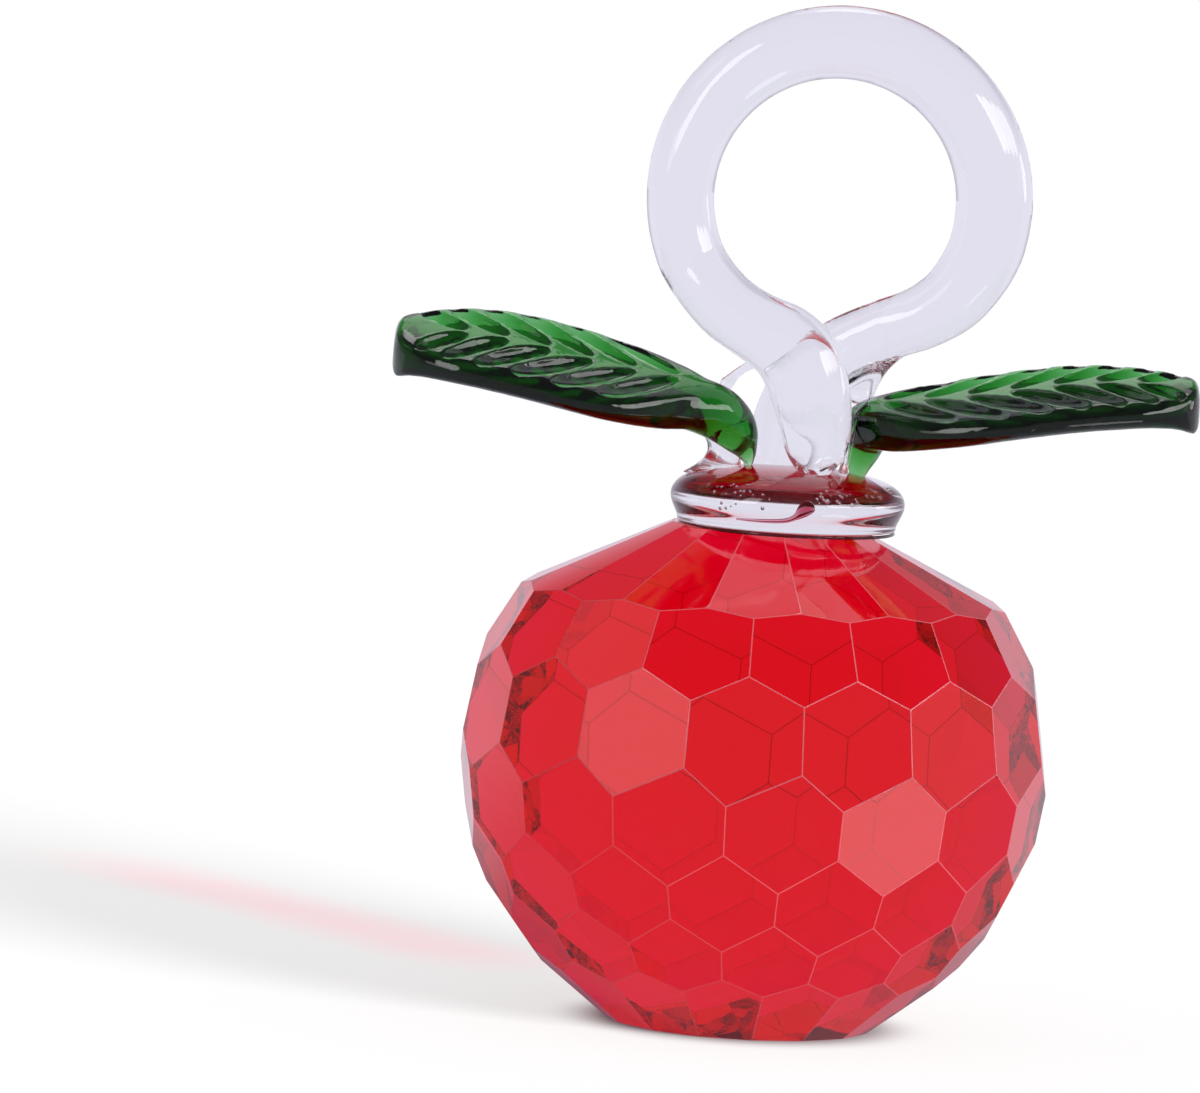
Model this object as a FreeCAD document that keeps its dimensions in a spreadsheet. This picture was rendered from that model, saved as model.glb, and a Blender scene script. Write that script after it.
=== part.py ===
import FreeCAD, Part
import math
import os

import Sketcher

# An apple of cut crystal with a glass top: a faceted red body that stands on a flat foot,
# a clear glass collar glued to its flat table, a clear rod bent into a ring for a stem,
# and two pressed green leaves. Lengths are millimetres, angles are degrees, up is +Z,
# the origin is the middle of the foot, and the leaves point along -X and +X.

SIZES = [
    # the crystal body: rings of flat facets, six of them tangent to one sphere
    ("facet_count", 16, "facets in one ring"),
    ("cut_radius", 29.38, "radius of the sphere that six rings are tangent to"),
    ("cut_height", 26.88, "height of that sphere's centre above the foot"),
    ("table_height", 51.0, "height of the flat table under the collar"),
    ("table_radius", 9.6, "table's centre to the middle of its straight edges"),
    ("crown_tilt", 64.1, "tilt of the crown facets' normals"),
    ("shoulder_tilt", 29.7, "tilt of the shoulder facets' normals"),
    ("upper_girdle_tilt", 9.2, "tilt of the upper girdle facets' normals"),
    ("lower_girdle_tilt", -8.4, "tilt of the lower girdle facets' normals"),
    ("belly_tilt", -24.3, "tilt of the belly facets' normals"),
    ("under_tilt", -37.5, "tilt of the under facets' normals"),
    ("foot_tilt", -51.3, "tilt of the foot facets' normals"),
    ("front_turn", -4.6, "turn of the whole facet pattern"),
    ("upper_slip", 2.8, "turn of the three upper rings against the lower ones"),
    # the clear collar and the film of cement below it
    ("film_thickness", 0.2, "cement between table and collar"),
    ("collar_shift", 1.9, "collar's centre to the right of the body's"),
    ("neck_radius", 10.6, "radius of the collar's flat underside"),
    ("rim_radius", 12.0, "largest radius of the collar"),
    ("rim_height", 2.4, "height of the widest line above the underside"),
    ("shoulder_radius", 10.4, "radius where the rim turns into the top"),
    ("shoulder_height", 4.6, "height of that edge above the underside"),
    ("collar_height", 5.6, "height of the top's middle above the underside"),
    # the clear rod
    ("rod_width", 7.4, "diameter of the rod"),
    ("ring_radius", 15.9, "radius of the ring to the rod's centre line"),
    ("ring_shift", 5.1, "ring's centre to the right of the body's"),
    ("front_leg_shift", 4.0, "front leg to the right of the body's centre"),
    ("back_leg_shift", 0.4, "back leg to the right of the body's centre"),
    ("leg_offset", 3.5, "each leg's distance in front of or behind the ring"),
    ("front_leg_rise", 9.2, "front leg's bend above the collar's middle"),
    ("front_arm_angle", 235.0, "where the ring ends and the front arm starts"),
    ("back_arm_angle", 300.0, "where the ring ends and the back arm starts"),
    ("root_depth", 2.0, "reach of legs, stalks and tacks into the collar, where they are trimmed"),
    # both leaves
    ("left_leaf_length", 32.0, "left blade from root to tip"),
    ("right_leaf_length", 30.8, "right blade from root to tip"),
    ("leaf_width", 18.6, "blade at its widest"),
    ("leaf_thickness", 3.0, "blade at its rim"),
    ("left_arch", 5.0, "rise of the left blade from root to tip"),
    ("right_arch", 3.4, "rise of the right blade from root to tip"),
    ("left_bank", 13.0, "left blade's lean towards the front"),
    ("right_bank", 8.0, "right blade's lean towards the front"),
    ("left_root_rise", 5.8, "left blade's root above the collar's middle"),
    ("right_root_rise", 5.6, "right blade's root above the collar's middle"),
    ("left_stalk_shift", -3.5, "left stalk to the right of the body's centre"),
    ("right_stalk_shift", 8.8, "right stalk to the right of the body's centre"),
    ("stalk_width", 3.8, "diameter of a leaf's stalk"),
    ("stalk_bend", 3.4, "radius of the bend from stalk to blade"),
    ("vein_count", 7, "grooves on each half of a blade"),
    ("vein_radius", 1.7, "radius of the tool that presses a groove"),
    ("vein_depth", 0.55, "depth of a groove"),
    ("vein_angle", 48.0, "grooves against the midrib"),
    ("midrib_width", 1.2, "width of the rib left between the grooves"),
    # the clear tacks that hold the leaves
    ("left_tack_width", 4.6, "left tack where it spreads on the collar"),
    ("left_tack_neck", 2.8, "left tack where it meets the leaf"),
    ("left_tack_shift", 2.2, "left tack's distance outwards from the stalk"),
    ("right_tack_width", 2.4, "diameter of the right tack"),
    ("right_tack_shift", 0.4, "right tack's foot inwards from the stalk"),
    ("right_tack_offset", 2.6, "right tack's foot in front of the stalk"),
]

# Where the blade's sections stand, how wide they are, how far they have risen and how
# thick they are, as shares of the blade's length, width, arch and thickness.
BLADE_SHARES = [
    (0.00, 0.25, 0.00, 1.00),
    (0.12, 0.64, 0.18, 1.00),
    (0.30, 0.95, 0.46, 1.00),
    (0.48, 1.00, 0.72, 1.00),
    (0.66, 0.95, 0.91, 1.00),
    (0.82, 0.73, 1.00, 1.00),
    (0.94, 0.42, 1.00, 0.85),
    (1.00, 0.16, 0.97, 0.50),
]
RIM_SHARE = 0.42         # bulge of the blade's round rim, as a share of its thickness
FIRST_VEIN_SHARE = 0.10  # first groove's start, as a share of the blade's length
LAST_VEIN_SHARE = 0.84   # last groove's start, as a share of the blade's length
LEG_BEND_SHARE = 0.85    # part of a leg that its bend takes
RING_STEPS = 5           # arcs in each half of the ring
TOUCHING = 1e-6          # points closer than this are one point

UP = FreeCAD.Vector(0, 0, 1)
ABOUT_UP = FreeCAD.Rotation(UP, 90)  # sets the axis only: an expression then sets the angle
TOP_ANGLE = 90                       # the top of the ring, seen from the front
FULL_TURN = 360

doc = FreeCAD.newDocument("glass_apple")
sheet = doc.addObject("Spreadsheet::Sheet", "Sizes")


def fill_sheet():
    for row, (alias, value, words) in enumerate(SIZES, start=1):
        sheet.set("A%d" % row, words)
        sheet.set("B%d" % row, str(value))
        sheet.setAlias("B%d" % row, alias)
    doc.recompute()


def size(alias):
    return float(sheet.get(alias))


def bind(thing, **expressions):
    """Ties properties to sheet cells; a double underscore stands for a dot."""
    for name, expression in expressions.items():
        thing.setExpression(name.replace("__", "."), expression)


def add(kind, name):
    thing = doc.addObject(kind, name)
    thing.Label = name
    return thing


def cut(name, base, tools):
    """base less all the tools, one after the other."""
    for number, tool in enumerate(tools):
        last = number == len(tools) - 1
        step = add("Part::Cut", name if last else "%s_trim_%d" % (name, number))
        step.Base = base
        step.Tool = tool
        base = step
    return base


# The crystal body

def facet_ring(name, tilt, inner_radius, turn):
    """A many-sided cone from foot to table: the planes of one ring of facets.

    inner_radius gives the distance from the axis to a facet's plane at a height."""
    polygons = []
    for end, height in (("low", "0"), ("high", "Sizes.table_height")):
        polygon = add("Part::RegularPolygon", "%s_%s" % (name, end))
        polygon.Placement.Rotation = ABOUT_UP
        bind(
            polygon,
            Polygon="Sizes.facet_count",
            Circumradius="(%s) / cos(180 / Sizes.facet_count)" % inner_radius(height, tilt),
            Placement__Base__z=height,
            Placement__Rotation__Angle=turn,
        )
        polygons.append(polygon)
    cone = add("Part::Loft", name)
    cone.Sections = polygons
    cone.Solid = True
    cone.Ruled = True
    return cone


def sphere_ring_radius(height, tilt):
    above = "(Sizes.cut_height - %s)" % height
    return "(Sizes.cut_radius + %s * sin(%s)) / cos(%s)" % (above, tilt, tilt)


def crown_ring_radius(height, tilt):
    return "(Sizes.table_radius + (Sizes.table_height - %s) * tan(%s))" % (height, tilt)


def crystal_body():
    half_step = "180 / Sizes.facet_count"
    lower = "Sizes.front_turn"
    upper = "Sizes.front_turn + Sizes.upper_slip"
    rings = [
        ("crown", crown_ring_radius, upper + " + " + half_step),
        ("shoulder", sphere_ring_radius, upper),
        ("upper_girdle", sphere_ring_radius, upper + " + " + half_step),
        ("lower_girdle", sphere_ring_radius, lower),
        ("belly", sphere_ring_radius, lower + " + " + half_step),
        ("under", sphere_ring_radius, lower),
        ("foot", sphere_ring_radius, lower + " + " + half_step),
    ]
    cones = []
    for name, inner_radius, turn in rings:
        cones.append(facet_ring(name, "Sizes.%s_tilt" % name, inner_radius, turn))
    body = add("Part::MultiCommon", "crystal_body")
    body.Shapes = cones
    return body


# Sketches

def origin_plane(body, role):
    for feature in body.Origin.OriginFeatures:
        if feature.Role == role:
            return feature
    raise ValueError("no such plane: " + role)


def new_sketch(body, name, role):
    sketch = body.newObject("Sketcher::SketchObject", name)
    sketch.AttachmentSupport = (origin_plane(body, role), [""])
    sketch.MapMode = "FlatFace"
    return sketch


def hold(sketch, name, constraint, expression):
    """Adds a dimension to a sketch and ties it to the sheet."""
    sketch.renameConstraint(sketch.addConstraint(constraint), name)
    sketch.setExpression("Constraints." + name, expression)


def hold_point(sketch, name, edge, end, across, up):
    """Holds one end of an edge at a place given by two expressions, None for zero."""
    axis_point = (-1, 1)
    place = sketch.getPoint(edge, end)
    for word, kind, expression, value in (
        ("across", "DistanceX", across, place.x),
        ("up", "DistanceY", up, place.y),
    ):
        if expression is None:
            line = -2 if kind == "DistanceX" else -1
            sketch.addConstraint(Sketcher.Constraint("PointOnObject", edge, end, line))
        else:
            constraint = Sketcher.Constraint(kind, *axis_point, edge, end, value)
            hold(sketch, "%s_%s" % (name, word), constraint, expression)


def close_outline(sketch, edges):
    for first, second in zip(edges, edges[1:] + edges[:1]):
        sketch.addConstraint(Sketcher.Constraint("Coincident", first, 2, second, 1))


# The collar and its cement

def collar_blank():
    """Half of the collar's section turned about the upright axis."""
    body = add("PartDesign::Body", "collar_body")
    sketch = new_sketch(body, "collar_section", "XZ_Plane")
    middle_low = FreeCAD.Vector(0, 0)
    neck = FreeCAD.Vector(size("neck_radius"), 0)
    rim = FreeCAD.Vector(size("rim_radius"), size("rim_height"))
    shoulder = FreeCAD.Vector(size("shoulder_radius"), size("shoulder_height"))
    middle_top = FreeCAD.Vector(0, size("collar_height"))
    dome_rise = size("collar_height") - size("shoulder_height")
    half_span = size("shoulder_radius")
    dome_radius = (half_span ** 2 + dome_rise ** 2) / (2 * dome_rise)
    dome_centre = FreeCAD.Vector(0, size("collar_height") - dome_radius)
    dome_angle = math.asin(half_span / dome_radius)
    upright = math.pi / 2
    circle = Part.Circle(dome_centre, UP, dome_radius)
    bottom = sketch.addGeometry(Part.LineSegment(middle_low, neck))
    side = sketch.addGeometry(Part.Arc(neck, rim, shoulder))
    top = sketch.addGeometry(Part.ArcOfCircle(circle, upright - dome_angle, upright))
    axis = sketch.addGeometry(Part.LineSegment(middle_top, middle_low))
    widest = sketch.addGeometry(Part.Point(rim), True)
    # An arc of a sketch runs anticlockwise from its point 1 to its point 2.
    sketch.addConstraint(Sketcher.Constraint("Coincident", bottom, 2, side, 1))
    sketch.addConstraint(Sketcher.Constraint("Coincident", side, 2, top, 1))
    sketch.addConstraint(Sketcher.Constraint("Coincident", top, 2, axis, 1))
    sketch.addConstraint(Sketcher.Constraint("Coincident", axis, 2, bottom, 1))
    sketch.addConstraint(Sketcher.Constraint("PointOnObject", widest, 1, side))
    sketch.addConstraint(Sketcher.Constraint("PointOnObject", top, 3, -2))
    hold_point(sketch, "neck", bottom, 2, "Sizes.neck_radius", None)
    hold_point(sketch, "shoulder", side, 2, "Sizes.shoulder_radius", "Sizes.shoulder_height")
    hold_point(sketch, "middle", axis, 1, None, "Sizes.collar_height")
    hold_point(sketch, "widest", widest, 1, "Sizes.rim_radius", "Sizes.rim_height")
    sketch.addConstraint(Sketcher.Constraint("Coincident", axis, 2, -1, 1))
    turned = body.newObject("PartDesign::Revolution", "collar_turned")
    turned.Profile = sketch
    turned.ReferenceAxis = (sketch, ["V_Axis"])
    bind(
        body,
        Placement__Base__x="Sizes.collar_shift",
        Placement__Base__z="Sizes.table_height + Sizes.film_thickness",
    )
    body.Label = "collar"
    return body


def adhesive_film():
    """Cement fills the space where table and collar face each other."""
    table = add("Part::Prism", "cement_on_table")
    table.Placement.Rotation = ABOUT_UP
    bind(
        table,
        Polygon="Sizes.facet_count",
        Circumradius="Sizes.table_radius / cos(180 / Sizes.facet_count)",
        Height="Sizes.film_thickness",
        Placement__Base__z="Sizes.table_height",
        Placement__Rotation__Angle="Sizes.front_turn + Sizes.upper_slip + 180 / Sizes.facet_count",
    )
    neck = add("Part::Cylinder", "cement_under_collar")
    bind(
        neck,
        Radius="Sizes.neck_radius",
        Height="Sizes.film_thickness",
        Placement__Base__x="Sizes.collar_shift",
        Placement__Base__z="Sizes.table_height",
    )
    film = add("Part::Common", "adhesive_film")
    film.Base = table
    film.Tool = neck
    return film


def collar_top():
    return size("table_height") + size("film_thickness") + size("collar_height")


# The rod bent into a ring

def rounded_path(points):
    """Straight runs joined by tangent arcs, each of which takes up to half of its two runs.

    The first and last runs have one corner only, so its arc may take more of them."""
    edges = []
    start = points[0]
    last_corner = len(points) - 2
    for number in range(1, last_corner + 1):
        before, corner, after = points[number - 1:number + 2]
        back = before - corner
        ahead = after - corner
        back_reach = back.Length if number == 1 else back.Length / 2
        ahead_reach = ahead.Length * LEG_BEND_SHARE if number == last_corner else ahead.Length / 2
        reach = min(back_reach, ahead_reach)
        back.normalize()
        ahead.normalize()
        turn = math.pi - back.getAngle(ahead)
        radius = reach / math.tan(turn / 2)
        inwards = (back + ahead).normalize()
        arc_start = corner + back * reach
        arc_end = corner + ahead * reach
        arc_middle = corner + inwards * (radius / math.cos(turn / 2) - radius)
        if (arc_start - start).Length > TOUCHING:
            edges.append(Part.LineSegment(start, arc_start).toShape())
            start = arc_start
        edges.append(Part.Arc(start, arc_middle, arc_end).toShape())
        start = arc_end
    edges.append(Part.LineSegment(start, points[-1]).toShape())
    return Part.Wire(edges)


def ring_centre():
    """The ring stands where its front arm, a tangent, comes down to the front leg's bend."""
    angle = math.radians(size("front_arm_angle"))
    arm_start_x = size("ring_shift") + size("ring_radius") * math.cos(angle)
    fall = -math.cos(angle) / -math.sin(angle) * (size("front_leg_shift") - arm_start_x)
    arm_start_z = collar_top() + size("front_leg_rise") + fall
    return FreeCAD.Vector(size("ring_shift"), 0, arm_start_z - size("ring_radius") * math.sin(angle))


def ring_half(name, end_angle, leg_shift, leg_offset):
    """The rod from the top of the ring round to one arm, and down that arm's leg."""
    centre = ring_centre()
    radius = size("ring_radius")
    step = math.radians(end_angle - TOP_ANGLE) / RING_STEPS
    corner_radius = radius / math.cos(step / 2)
    points = [centre + UP * radius]
    for number in range(RING_STEPS):
        angle = math.radians(TOP_ANGLE) + step * (number + 0.5)
        points.append(centre + FreeCAD.Vector(math.cos(angle), 0, math.sin(angle)) * corner_radius)
    end = math.radians(end_angle)
    arm_start = centre + FreeCAD.Vector(math.cos(end), 0, math.sin(end)) * radius
    slope = math.cos(end) / -math.sin(end)
    bend_z = arm_start.z + slope * (leg_shift - arm_start.x)
    points.append(FreeCAD.Vector(leg_shift, leg_offset, bend_z))
    points.append(FreeCAD.Vector(leg_shift, leg_offset, collar_top() - size("root_depth")))
    path = add("Part::Feature", name + "_path")
    path.Shape = rounded_path(points)
    outline = add("Part::Circle", name + "_outline")
    across = FreeCAD.Rotation(UP, FreeCAD.Vector(1, 0, 0))
    outline.Placement = FreeCAD.Placement(points[0], across)
    bind(outline, Radius="Sizes.rod_width / 2")
    half = add("Part::Sweep", name)
    half.Sections = [outline]
    half.Spine = (path, ["Edge%d" % number for number in range(1, len(path.Shape.Edges) + 1)])
    half.Solid = True
    half.Transition = "Transformed"
    return half


def stem_loop(collar):
    front = ring_half(
        "front_half", size("front_arm_angle"), size("front_leg_shift"), -size("leg_offset")
    )
    back = ring_half(
        "back_half", size("back_arm_angle") - FULL_TURN, size("back_leg_shift"), size("leg_offset")
    )
    ring = add("Part::MultiFuse", "ring_and_legs")
    ring.Shapes = [front, back]
    return cut("stem_loop", ring, [collar])


# The leaves

def blade_section(body, side, number, shares):
    """A flat bar with round edges: one section of the blade."""
    along, wide, risen, thick = shares
    half_width = size("leaf_width") * wide / 2
    half_thick = size("leaf_thickness") * thick / 2
    bulge = 2 * half_thick * RIM_SHARE
    flat = half_width - bulge
    sketch = new_sketch(body, "%s_section_%d" % (side, number), "YZ_Plane")
    high_right = FreeCAD.Vector(flat, half_thick)
    high_left = FreeCAD.Vector(-flat, half_thick)
    low_left = FreeCAD.Vector(-flat, -half_thick)
    low_right = FreeCAD.Vector(flat, -half_thick)
    top = sketch.addGeometry(Part.LineSegment(high_right, high_left))
    left = sketch.addGeometry(Part.Arc(high_left, FreeCAD.Vector(-half_width, 0), low_left))
    bottom = sketch.addGeometry(Part.LineSegment(low_left, low_right))
    right = sketch.addGeometry(Part.Arc(low_right, FreeCAD.Vector(half_width, 0), high_right))
    close_outline(sketch, [top, left, bottom, right])
    flat_words = "(Sizes.leaf_width * %g / 2 - Sizes.leaf_thickness * %g)" % (wide, thick * RIM_SHARE)
    thick_words = "(Sizes.leaf_thickness * %g)" % (thick / 2)
    hold_point(sketch, "high_right", top, 1, flat_words, thick_words)
    hold_point(sketch, "high_left", left, 1, "-" + flat_words, thick_words)
    hold_point(sketch, "low_left", bottom, 1, "-" + flat_words, "-" + thick_words)
    hold_point(sketch, "low_right", right, 1, flat_words, "-" + thick_words)
    edge_share = thick * (RIM_SHARE ** 2 + 0.5 ** 2) / (2 * RIM_SHARE)
    for name, edge in (("left_edge", left), ("right_edge", right)):
        radius = Sketcher.Constraint("Radius", edge, size("leaf_thickness") * edge_share)
        hold(sketch, name, radius, "Sizes.leaf_thickness * %g" % edge_share)
    bind(
        sketch,
        AttachmentOffset__Base__z="Sizes.%s_leaf_length * %g" % (side, along),
        AttachmentOffset__Base__y="Sizes.%s_arch * %g" % (side, risen),
    )
    return sketch


def stalk(body, side):
    """The leaf's stalk: along the blade's root, round a bend and down into the collar."""
    outline = new_sketch(body, side + "_stalk_outline", "YZ_Plane")
    circle = outline.addGeometry(Part.Circle(FreeCAD.Vector(), UP, size("stalk_width") / 2))
    outline.addConstraint(Sketcher.Constraint("Coincident", circle, 3, -1, 1))
    radius = Sketcher.Constraint("Radius", circle, size("stalk_width") / 2)
    hold(outline, "stalk_radius", radius, "Sizes.stalk_width / 2")
    bind(outline, AttachmentOffset__Base__z="Sizes.stalk_bend")
    bend = size("stalk_bend")
    drop = size(side + "_root_rise") + size("root_depth")
    path = new_sketch(body, side + "_stalk_path", "XZ_Plane")
    run_start = FreeCAD.Vector(bend, 0)
    bend_start = FreeCAD.Vector(0, 0)
    bend_end = FreeCAD.Vector(-bend, -bend)
    foot = FreeCAD.Vector(-bend, -drop)
    circle = Part.Circle(FreeCAD.Vector(0, -bend), UP, bend)
    run = path.addGeometry(Part.LineSegment(run_start, bend_start))
    turn = path.addGeometry(Part.ArcOfCircle(circle, math.pi / 2, math.pi))
    fall = path.addGeometry(Part.LineSegment(bend_end, foot))
    path.addConstraint(Sketcher.Constraint("Coincident", run, 2, turn, 1))
    path.addConstraint(Sketcher.Constraint("Coincident", turn, 2, fall, 1))
    hold_point(path, "run_start", run, 1, "Sizes.stalk_bend", None)
    path.addConstraint(Sketcher.Constraint("Coincident", turn, 1, -1, 1))
    hold_point(path, "bend_end", turn, 2, "-Sizes.stalk_bend", "-Sizes.stalk_bend")
    radius = Sketcher.Constraint("Radius", turn, bend)
    hold(path, "bend_radius", radius, "Sizes.stalk_bend")
    drop_words = "-(Sizes.%s_root_rise + Sizes.root_depth)" % side
    hold_point(path, "foot", fall, 2, "-Sizes.stalk_bend", drop_words)
    pipe = body.newObject("PartDesign::AdditivePipe", side + "_stalk")
    pipe.Profile = outline
    pipe.Spine = (path, ["Edge1", "Edge2", "Edge3"])
    return pipe


def leaf_placement(side):
    """Root of the blade over the stalk's bend, leaning to the front."""
    outwards = -1 if side == "left" else 1
    bank = outwards * size(side + "_bank")
    rise = size(side + "_root_rise")
    root = FreeCAD.Vector(
        size(side + "_stalk_shift") + outwards * size("stalk_bend"),
        -rise * math.sin(math.radians(size(side + "_bank"))),
        collar_top() + rise,
    )
    facing = FreeCAD.Rotation(UP, 90 - 90 * outwards)
    return FreeCAD.Placement(root, facing * FreeCAD.Rotation(FreeCAD.Vector(1, 0, 0), bank))


def blade_top(side, along):
    """Height of the blade's upper face at a distance from its root."""
    share = min(max(along / size(side + "_leaf_length"), 0), 1)
    for low, high in zip(BLADE_SHARES, BLADE_SHARES[1:]):
        if share <= high[0]:
            part = (share - low[0]) / (high[0] - low[0])
            risen = low[2] + part * (high[2] - low[2])
            break
    return size(side + "_arch") * risen + size("leaf_thickness") / 2


def vein_tools(side):
    """Round bars that press the grooves, in pairs from the midrib outwards."""
    placement = leaf_placement(side)
    length = size(side + "_leaf_length")
    angle = math.radians(size("vein_angle"))
    count = int(size("vein_count"))
    reach = size("leaf_width") / 2 / math.sin(angle)
    lift = size("vein_radius") - size("vein_depth")
    tools = []
    for number in range(count):
        share = FIRST_VEIN_SHARE + (LAST_VEIN_SHARE - FIRST_VEIN_SHARE) * number / max(count - 1, 1)
        for way, half in ((1, "left"), (-1, "right")):
            start = FreeCAD.Vector(length * share, way * size("midrib_width") / 2, 0)
            end = start + FreeCAD.Vector(math.cos(angle), way * math.sin(angle), 0) * reach
            start.z = blade_top(side, start.x) + lift
            end.z = blade_top(side, end.x) + lift
            tool = add("Part::Cylinder", "%s_vein_%d_%s" % (side, number, half))
            bind(tool, Radius="Sizes.vein_radius", Height="Sizes.leaf_width / 2 / sin(Sizes.vein_angle)")
            aim = FreeCAD.Rotation(UP, end - start)
            tool.Placement = placement * FreeCAD.Placement(start, aim)
            tools.append(tool)
    return tools


def leaf(side, collar, stem):
    body = add("PartDesign::Body", side + "_leaf_body")
    sections = [
        blade_section(body, side, number, shares) for number, shares in enumerate(BLADE_SHARES)
    ]
    blade = body.newObject("PartDesign::AdditiveLoft", side + "_blade")
    blade.Profile = sections[0]
    blade.Sections = sections[1:]
    doc.recompute()
    stalk(body, side)
    body.Placement = leaf_placement(side)
    veins = add("Part::MultiFuse", side + "_veins")
    veins.Shapes = vein_tools(side)
    return cut("leaf_" + side, body, [veins, collar, stem])


# The clear tacks that hold the leaves

def tack_left(collar, stem, own_leaf):
    """A blob pulled up from the collar to the underside of the left leaf's root."""
    cone = add("Part::Cone", "left_tack_blob")
    bind(
        cone,
        Radius1="Sizes.left_tack_width / 2",
        Radius2="Sizes.left_tack_neck / 2",
        Height="Sizes.root_depth + Sizes.left_root_rise - Sizes.stalk_width / 4",
    )
    cone.Placement.Base = FreeCAD.Vector(
        size("left_stalk_shift") - size("left_tack_shift"), 0, collar_top() - size("root_depth")
    )
    return cut("tack_left", cone, [collar, stem, own_leaf])


def tack_right(collar, stem, own_leaf):
    """A thin clear rod that leans on the front of the right leaf's stalk."""
    foot = FreeCAD.Vector(
        size("right_stalk_shift") - size("right_tack_shift"),
        -size("right_tack_offset"),
        collar_top() - size("root_depth"),
    )
    head = FreeCAD.Vector(
        size("right_stalk_shift") + size("stalk_bend") / 2,
        -size("stalk_width") / 4,
        collar_top() + size("right_root_rise"),
    )
    rod = add("Part::Cylinder", "right_tack_rod")
    bind(rod, Radius="Sizes.right_tack_width / 2")
    rod.Height = (head - foot).Length
    rod.Placement = FreeCAD.Placement(foot, FreeCAD.Rotation(UP, head - foot))
    return cut("tack_right", rod, [collar, stem, own_leaf])


def check(parts):
    """Stops if any object failed, or a piece is empty, broken or not one solid."""
    for thing in doc.Objects:
        if "Invalid" in thing.State or "Error" in thing.State:
            raise ValueError("%s failed: %s" % (thing.Label, thing.State))
    for piece in parts:
        shape = piece.Shape
        if shape.isNull() or not shape.isValid() or len(shape.Solids) != 1:
            raise ValueError("%s isn't one sound solid" % piece.Label)
        box = shape.optimalBoundingBox(True, False)
        print(
            "%-14s %9.1f mm3, faces %3d, x %.2f to %.2f, y %.2f to %.2f, z %.2f to %.2f"
            % (piece.Label, shape.Volume, len(shape.Faces), box.XMin, box.XMax,
               box.YMin, box.YMax, box.ZMin, box.ZMax)
        )


def main():
    fill_sheet()
    crystal = crystal_body()
    film = adhesive_film()
    collar = collar_blank()
    doc.recompute()
    stem = stem_loop(collar)
    doc.recompute()
    left = leaf("left", collar, stem)
    right = leaf("right", collar, stem)
    doc.recompute()
    tacks = [tack_left(collar, stem, left), tack_right(collar, stem, right)]
    doc.recompute()
    parts = [crystal, film, collar, stem, left, right] + tacks
    check(parts)
    os.makedirs("parts", exist_ok=True)
    for piece in parts:
        piece.Shape.exportStep("parts/%s.step" % piece.Label)


main()
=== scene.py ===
"""A red cut crystal apple with a clear glass ring for a stem and two pressed green leaves.

Pieces are modelled in millimetres and brought to metres when they are finished. Up is +Z,
the front is -Y, and the leaves point along -X and +X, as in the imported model."""
import math
import random

import bpy
from mathutils import Matrix, Vector


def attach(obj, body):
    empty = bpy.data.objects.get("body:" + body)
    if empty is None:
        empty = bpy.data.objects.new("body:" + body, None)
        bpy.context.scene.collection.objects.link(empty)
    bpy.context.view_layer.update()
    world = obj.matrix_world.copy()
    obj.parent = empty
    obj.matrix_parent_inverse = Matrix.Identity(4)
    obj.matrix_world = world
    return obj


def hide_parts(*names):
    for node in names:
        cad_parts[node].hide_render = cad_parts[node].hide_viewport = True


MM = 0.001
WHITE = (1.0, 1.0, 1.0, 1.0)
QUARTER_TURN = 90.0
HALF_TURN = 180.0
DOWN = 270.0              # a heading, in degrees above +X

# The camera of the photograph, found from the corners of the facets.
CAMERA_DISTANCE = 850.0   # in front of the apple's axis
CAMERA_HEIGHT = 118.29
CAMERA_YAW = -1.139       # degrees to the right
CAMERA_PITCH = 4.739      # degrees downwards
CAMERA_ROLL = 3.381       # degrees
SENSOR_WIDTH = 36.0
PHOTO_WIDTH = 1200
FOCAL_PIXELS = 8364.7
NEAREST_SEEN, FARTHEST_SEEN = 0.05, 50.0   # metres

# Light. Glass sees the pale backdrop as it is, and the camera sees it burnt out to white.
BACKDROP = (0.78, 0.765, 0.875, 1.0)
FRONT_ROOM = (0.38, 0.38, 0.40, 1.0)   # what facets mirror of the room in front of the apple
FILL = (0.4, 0.4, 0.4, 1.0)            # what lights matt faces from all round
BEHIND_FROM, BEHIND_TO = 0.0, 0.8      # parts of a direction along +Y: from front room to backdrop
KEY_DIRECTION = (0.67, -0.67, 0.32)    # towards the lamp
KEY_SPREAD = 22.0         # degrees across, which makes the shadow's edge soft
KEY_STRENGTH = 5.9        # with the fill it lights a level floor at 1
FLOOR_HALF_WIDTH = 6.0    # metres
FLOOR_DROP = 0.02         # keeps floor and foot from lying in one plane
LIGHT_BOUNCES = 32        # light is thrown about many times inside the crystal
FLOOR_PAINT = (0.3, 0.3, 0.3, 1.0)
FLOOR_GLOW = (0.71, 0.71, 0.71, 1.0)            # with the lit paint, the white that the camera sees
FLOOR_GLOW_IN_GLASS = (0.48, 0.465, 0.575, 1.0)  # with the lit paint, the backdrop's level
STREAK_START = (-19.0, 24.0)     # the red light that the crystal throws into its shadow
STREAK_END = (-76.0, 104.0)
STREAK_HALF_WIDTH = 13.0
STREAK_GLOW = (0.80, 0.60, 0.63, 1.0)
STREAK_RISE_SHARE = 0.25         # shares of its length at which it is full, starts to fade, and ends
STREAK_FADE_SHARE = 0.75
STREAK_END_SHARE = 1.15
STREAK_WAVES = 60.0              # waves a metre, which make it uneven
STREAK_WAVE_DETAIL = 2.0
STREAK_EVEN_SHARE, STREAK_WAVE_SHARE = 0.6, 0.8
FOOT_SHADE_FROM, FOOT_SHADE_TO = 12.0, 22.0     # radii of the painted shadow round the foot
FOOT_SHADE = (0.02, 0.0, 0.01, 1.0)
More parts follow.
